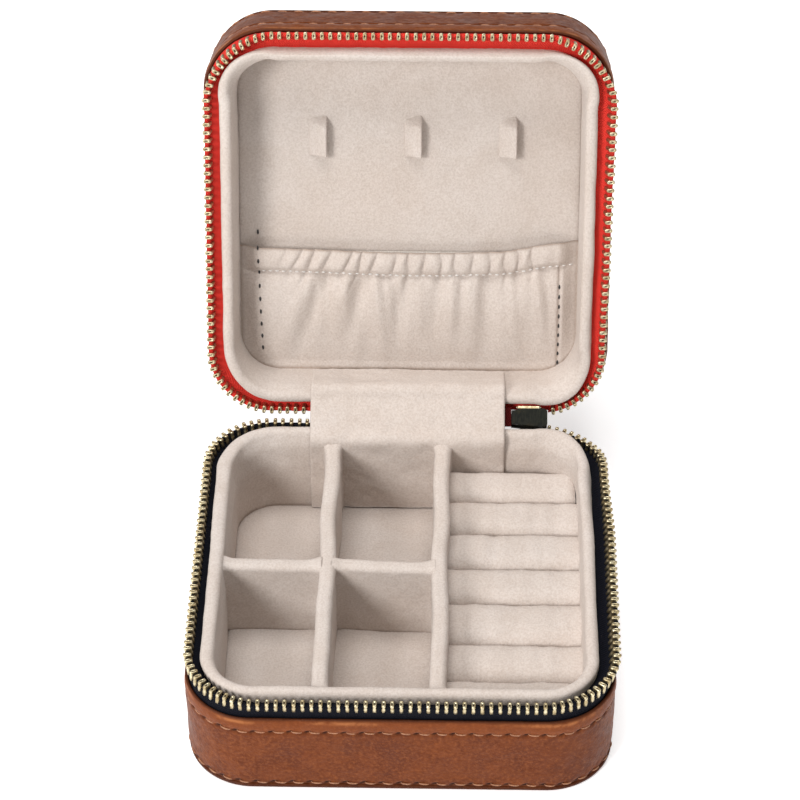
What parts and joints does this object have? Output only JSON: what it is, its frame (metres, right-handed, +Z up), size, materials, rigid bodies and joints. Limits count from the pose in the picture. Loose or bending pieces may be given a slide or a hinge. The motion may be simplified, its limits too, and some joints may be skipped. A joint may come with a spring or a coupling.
{
  "type": "travel jewellery case",
  "caption": "Square zip-round leather jewellery case, shown open, with velvet cells, ring rolls, necklace hooks, a gathered lid pocket and a fabric hinge.",
  "frame": {"origin": "centre of the base's flat bottom face", "axes": "+X to the right, +Y back towards the hinge, +Z up; the lid stands open at joint value zero"},
  "size_m": [0.1, 0.1579, 0.1196],
  "materials": {
    "cognac_leather": "smooth tan leather with fine grain",
    "velvet": "short-pile beige velvet",
    "board": "grey board stiffener",
    "navy_tape": "woven navy zip tape",
    "red_tape": "woven red zip tape",
    "zip_brass": "antique brass zip metal",
    "dark_brass": "dark bronzed brass",
    "elastic": "woven elastic band"
  },
  "bodies": {
    "base": {"base_leather_bottom": "cognac_leather", "base_leather_side": "cognac_leather", "base_core_wall": "board", "base_core_floor": "board", "base_zip_tape": "navy_tape", "base_zip_chain": "zip_brass", "base_top_stop": "zip_brass", "base_lining_wall": "velvet", "base_floor_pad": "velvet", "divider_left": "velvet", "divider_right": "velvet", "cross_divider_left": "velvet", "cross_divider_middle": "velvet", "ring_roll_1": "velvet", "ring_roll_2": "velvet", "ring_roll_3": "velvet", "ring_roll_4": "velvet", "ring_roll_5": "velvet", "ring_roll_6": "velvet", "ring_roll_7": "velvet", "leather_spine": "cognac_leather", "hinge_flap": "velvet"},
    "lid": {"lid_leather_top": "cognac_leather", "lid_leather_side": "cognac_leather", "lid_core_wall": "board", "lid_core_roof": "board", "lid_zip_tape": "red_tape", "lid_zip_chain": "zip_brass", "lid_top_stop": "zip_brass", "lid_lining_wall": "velvet", "lid_panel": "velvet", "hook_left": "velvet", "hook_middle": "velvet", "hook_right": "velvet", "pocket": "velvet", "pocket_elastic": "elastic"},
    "zip_end": {"bottom_stop": "zip_brass"},
    "slider": {"slider_body": "dark_brass", "slider_bridge": "zip_brass"},
    "pull": {"pull_tab": "zip_brass"}
  },
  "joints": [
    {"name": "lid_hinge", "type": "hinge", "parent": "base", "child": "lid", "pos_m": [0, 0.04933, 0.0288], "axis": [1, 0, 0], "range_deg": [0, 110.8], "deforming": ["leather_spine", "hinge_flap"]},
    {"name": "zip_end_fold", "type": "hinge", "parent": "base", "child": "zip_end", "pos_m": [0, 0.04933, 0.0288], "axis": [1, 0, 0], "range_deg": [0, 55.4]},
    {"name": "slider_run", "type": "slide", "parent": "zip_end", "child": "slider", "axis": [1, 0, 0], "range_m": [0, 0.0034]},
    {"name": "pull_swing", "type": "hinge", "parent": "slider", "child": "pull", "pos_m": [0.0308, 0.05204, 0.02487], "axis": [1, 0, 0], "range_deg": [0, 60]}
  ],
  "couplings": [
    {"joint": "zip_end_fold", "follows": "lid_hinge", "ratio": 0.5}
  ]
}
